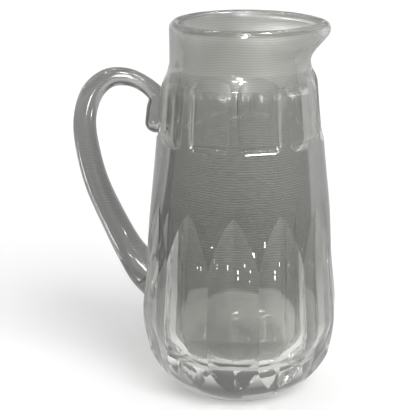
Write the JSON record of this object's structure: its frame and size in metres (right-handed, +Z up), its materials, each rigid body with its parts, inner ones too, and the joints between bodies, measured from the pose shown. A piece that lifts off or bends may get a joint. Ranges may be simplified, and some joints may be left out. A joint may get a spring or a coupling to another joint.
{
  "type": "crystal pitcher",
  "caption": "Heavy clear crystal pitcher with pointed mitre cuts round the belly, flat panels below the neck, a drawn spout and an applied loop handle, for serving water.",
  "frame": {"origin": "centre of the flat foot, on the plane it rests on", "axes": "+Z up along the axis of the body, +X towards the spout, handle on -X"},
  "size_m": [0.1667, 0.1218, 0.24],
  "materials": {
    "body": "polished clear crystal",
    "handle": "fire-polished clear crystal"
  },
  "bodies": {
    "root": {"body": "body", "handle": "handle"}
  },
  "joints": []
}
